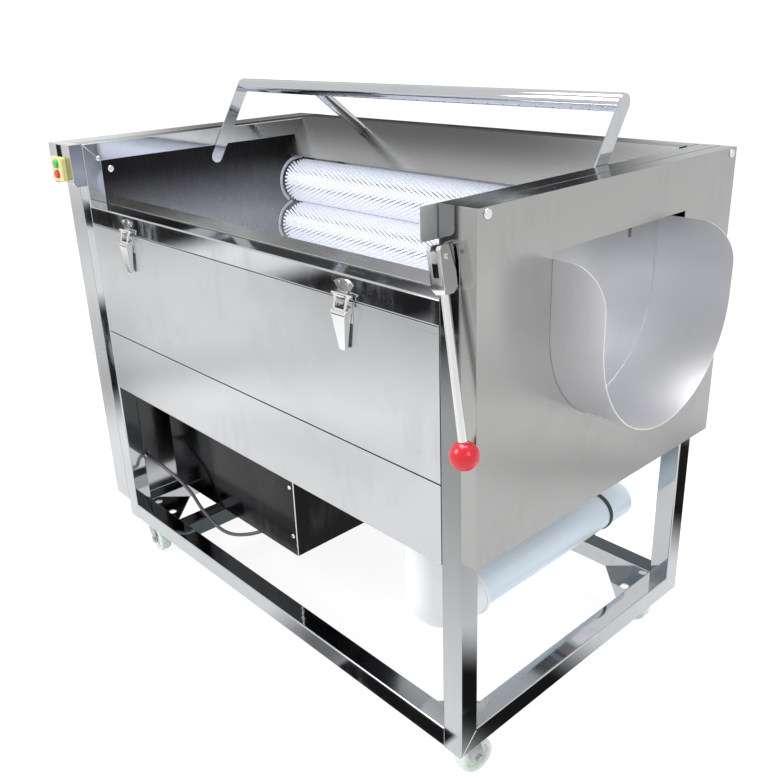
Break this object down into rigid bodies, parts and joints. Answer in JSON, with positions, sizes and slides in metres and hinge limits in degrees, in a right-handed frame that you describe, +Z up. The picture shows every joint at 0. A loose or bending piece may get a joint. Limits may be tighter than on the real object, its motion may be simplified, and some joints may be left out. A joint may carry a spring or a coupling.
{
  "type": "brush-roller peeling and washing machine",
  "caption": "Stainless brush-roller machine on casters that peels and washes root vegetables, with spray bar, hand-lever discharge gate and U-shaped chute.",
  "frame": {"origin": "centre of the overall box, on the floor under the casters", "axes": "+X along the rollers towards the discharge chute, -Y towards the front with the toggle latches, +Z up"},
  "size_m": [1.25, 0.7074, 1.059],
  "materials": {
    "polished_steel": "mirror-polished stainless",
    "satin_steel": "satin stainless sheet",
    "white_nylon": "nylon bristle",
    "red_plastic": "glossy",
    "green_plastic": "glossy",
    "yellow_plastic": "semi-gloss",
    "white_pvc": "smooth",
    "black_strap": "matte",
    "wheel_plastic": "translucent, smooth",
    "zinc_steel": "zinc plated",
    "motor_paint": "satin paint",
    "cast_iron_housing": "painted casting",
    "chain_steel": "oiled",
    "cable_grey": "matte sheath"
  },
  "bodies": {
    "frame": {"front_left_post": "polished_steel", "front_right_post": "polished_steel", "rear_posts": "polished_steel", "base_end_rails": "polished_steel", "base_rails": "polished_steel", "top_end_rails": "polished_steel", "top_long_rails": "polished_steel", "switch_guard": "polished_steel", "right_cheek": "polished_steel", "drive_box": "polished_steel", "left_casing": "satin_steel", "left_drive_plate": "satin_steel", "right_casing": "satin_steel", "discharge_chute": "satin_steel", "left_bearing_plate": "satin_steel", "right_bearing_plate": "satin_steel", "front_upper_panel": "satin_steel", "front_lower_panel": "satin_steel", "rear_panel": "satin_steel", "rear_baffle": "satin_steel", "front_baffle": "satin_steel", "drain_pan": "satin_steel", "spray_bar": "satin_steel", "latch_plates": "satin_steel", "panel_screws": "satin_steel", "switch_box": "yellow_plastic", "drain_elbow": "white_pvc", "drain_pipe": "white_pvc", "drain_strap": "black_strap", "caster_plates": "zinc_steel", "gear_motor": "motor_paint", "bearing_housings": "cast_iron_housing", "drive_chains": "chain_steel", "motor_cable": "cable_grey"},
    "brush_roller_1": {"brush_roller_1": "white_nylon"},
    "brush_roller_2": {"brush_roller_2": "white_nylon"},
    "brush_roller_3": {"brush_roller_3": "white_nylon"},
    "brush_roller_4": {"brush_roller_4": "white_nylon"},
    "brush_roller_5": {"brush_roller_5": "white_nylon"},
    "brush_roller_6": {"brush_roller_6": "white_nylon"},
    "brush_roller_7": {"brush_roller_7": "white_nylon"},
    "drive_sprocket": {"drive_sprocket": "chain_steel"},
    "gate": {"gate_flap": "satin_steel", "gate_shaft": "satin_steel", "gate_lever": "satin_steel", "lever_ball": "red_plastic"},
    "start_button": {"start_button": "green_plastic"},
    "stop_button": {"stop_button": "red_plastic"},
    "left_latch_lever": {"left_latch_lever": "satin_steel"},
    "right_latch_lever": {"right_latch_lever": "satin_steel"},
    "left_latch_bail": {"left_latch_bail": "satin_steel"},
    "right_latch_bail": {"right_latch_bail": "satin_steel"},
    "caster_fork_1": {"caster_fork_1": "zinc_steel"},
    "caster_fork_2": {"caster_fork_2": "zinc_steel"},
    "caster_fork_3": {"caster_fork_3": "zinc_steel"},
    "caster_fork_4": {"caster_fork_4": "zinc_steel"},
    "caster_wheel_1": {"caster_wheel_1": "wheel_plastic"},
    "caster_wheel_2": {"caster_wheel_2": "wheel_plastic"},
    "caster_wheel_3": {"caster_wheel_3": "wheel_plastic"},
    "caster_wheel_4": {"caster_wheel_4": "wheel_plastic"}
  },
  "joints": [
    {"name": "brush_roller_1_spin", "type": "hinge", "parent": "frame", "child": "brush_roller_1", "pos_m": [0, 0.23588, 0.81278], "axis": [1, 0, 0], "continuous": true},
    {"name": "brush_roller_2_spin", "type": "hinge", "parent": "frame", "child": "brush_roller_2", "pos_m": [0, 0.22095, 0.7098], "axis": [1, 0, 0], "continuous": true},
    {"name": "brush_roller_3_spin", "type": "hinge", "parent": "frame", "child": "brush_roller_3", "pos_m": [0, 0.16164, 0.62431], "axis": [1, 0, 0], "continuous": true},
    {"name": "brush_roller_4_spin", "type": "hinge", "parent": "frame", "child": "brush_roller_4", "pos_m": [0, 0.07041, 0.57426], "axis": [1, 0, 0], "continuous": true},
    {"name": "brush_roller_5_spin", "type": "hinge", "parent": "frame", "child": "brush_roller_5", "pos_m": [0, -0.03357, 0.57017], "axis": [1, 0, 0], "continuous": true},
    {"name": "brush_roller_6_spin", "type": "hinge", "parent": "frame", "child": "brush_roller_6", "pos_m": [0, -0.12844, 0.61291], "axis": [1, 0, 0], "continuous": true},
    {"name": "brush_roller_7_spin", "type": "hinge", "parent": "frame", "child": "brush_roller_7", "pos_m": [0, -0.19428, 0.69349], "axis": [1, 0, 0], "continuous": true},
    {"name": "drive_sprocket_spin", "type": "hinge", "parent": "frame", "child": "drive_sprocket", "pos_m": [-0.566, -0.07725, 0.29], "axis": [1, 0, 0], "continuous": true},
    {"name": "gate_swing", "type": "hinge", "parent": "frame", "child": "gate", "pos_m": [0.491, -0.30925, 0.897], "axis": [0, -1, 0], "range_deg": [0, 60]},
    {"name": "start_button_press", "type": "slide", "parent": "frame", "child": "start_button", "axis": [0, 1, 0], "range_m": [0, 0.003], "stiffness_N_per_m": 400},
    {"name": "stop_button_press", "type": "slide", "parent": "frame", "child": "stop_button", "axis": [0, 1, 0], "range_m": [0, 0.003], "stiffness_N_per_m": 400},
    {"name": "left_latch_lever_hinge", "type": "hinge", "parent": "frame", "child": "left_latch_lever", "pos_m": [-0.375, -0.31475, 0.7815], "axis": [-1, 0, 0], "range_deg": [0, 90]},
    {"name": "left_latch_bail_hinge", "type": "hinge", "parent": "left_latch_lever", "child": "left_latch_bail", "pos_m": [-0.375, -0.32175, 0.7775], "axis": [1, 0, 0], "range_deg": [0, 97.2]},
    {"name": "right_latch_lever_hinge", "type": "hinge", "parent": "frame", "child": "right_latch_lever", "pos_m": [0.282, -0.31475, 0.7815], "axis": [-1, 0, 0], "range_deg": [0, 90]},
    {"name": "right_latch_bail_hinge", "type": "hinge", "parent": "right_latch_lever", "child": "right_latch_bail", "pos_m": [0.282, -0.32175, 0.7775], "axis": [1, 0, 0], "range_deg": [0, 97.2]},
    {"name": "caster_1_swivel", "type": "hinge", "parent": "frame", "child": "caster_fork_1", "pos_m": [-0.528, -0.27125, 0.08], "axis": [0, 0, 1], "continuous": true},
    {"name": "caster_1_roll", "type": "hinge", "parent": "caster_fork_1", "child": "caster_wheel_1", "pos_m": [-0.50011, -0.27369, 0.0315], "axis": [0.0872, 0.9962, 0], "continuous": true},
    {"name": "caster_2_swivel", "type": "hinge", "parent": "frame", "child": "caster_fork_2", "pos_m": [0.472, -0.27125, 0.08], "axis": [0, 0, 1], "continuous": true},
    {"name": "caster_2_roll", "type": "hinge", "parent": "caster_fork_2", "child": "caster_wheel_2", "pos_m": [0.47686, -0.24368, 0.0315], "axis": [-0.9848, 0.1736, 0], "continuous": true},
    {"name": "caster_3_swivel", "type": "hinge", "parent": "frame", "child": "caster_fork_3", "pos_m": [-0.528, 0.29075, 0.08], "axis": [0, 0, 1], "continuous": true},
    {"name": "caster_3_roll", "type": "hinge", "parent": "caster_fork_3", "child": "caster_wheel_3", "pos_m": [-0.50169, 0.30032, 0.0315], "axis": [-0.342, 0.9397, 0], "continuous": true},
    {"name": "caster_4_swivel", "type": "hinge", "parent": "frame", "child": "caster_fork_4", "pos_m": [0.472, 0.29075, 0.08], "axis": [0, 0, 1], "continuous": true},
    {"name": "caster_4_roll", "type": "hinge", "parent": "caster_fork_4", "child": "caster_wheel_4", "pos_m": [0.444, 0.29075, 0.0315], "axis": [0, -1, 0], "continuous": true}
  ],
  "couplings": [
    {"joint": "brush_roller_1_spin", "follows": "brush_roller_7_spin", "ratio": 1},
    {"joint": "brush_roller_2_spin", "follows": "brush_roller_7_spin", "ratio": 1},
    {"joint": "brush_roller_3_spin", "follows": "brush_roller_7_spin", "ratio": 1},
    {"joint": "brush_roller_4_spin", "follows": "brush_roller_7_spin", "ratio": 1},
    {"joint": "brush_roller_5_spin", "follows": "brush_roller_7_spin", "ratio": 1},
    {"joint": "brush_roller_6_spin", "follows": "brush_roller_7_spin", "ratio": 1},
    {"joint": "drive_sprocket_spin", "follows": "brush_roller_7_spin", "ratio": 1},
    {"joint": "left_latch_bail_hinge", "follows": "left_latch_lever_hinge", "ratio": 1.08},
    {"joint": "right_latch_bail_hinge", "follows": "right_latch_lever_hinge", "ratio": 1.08}
  ]
}
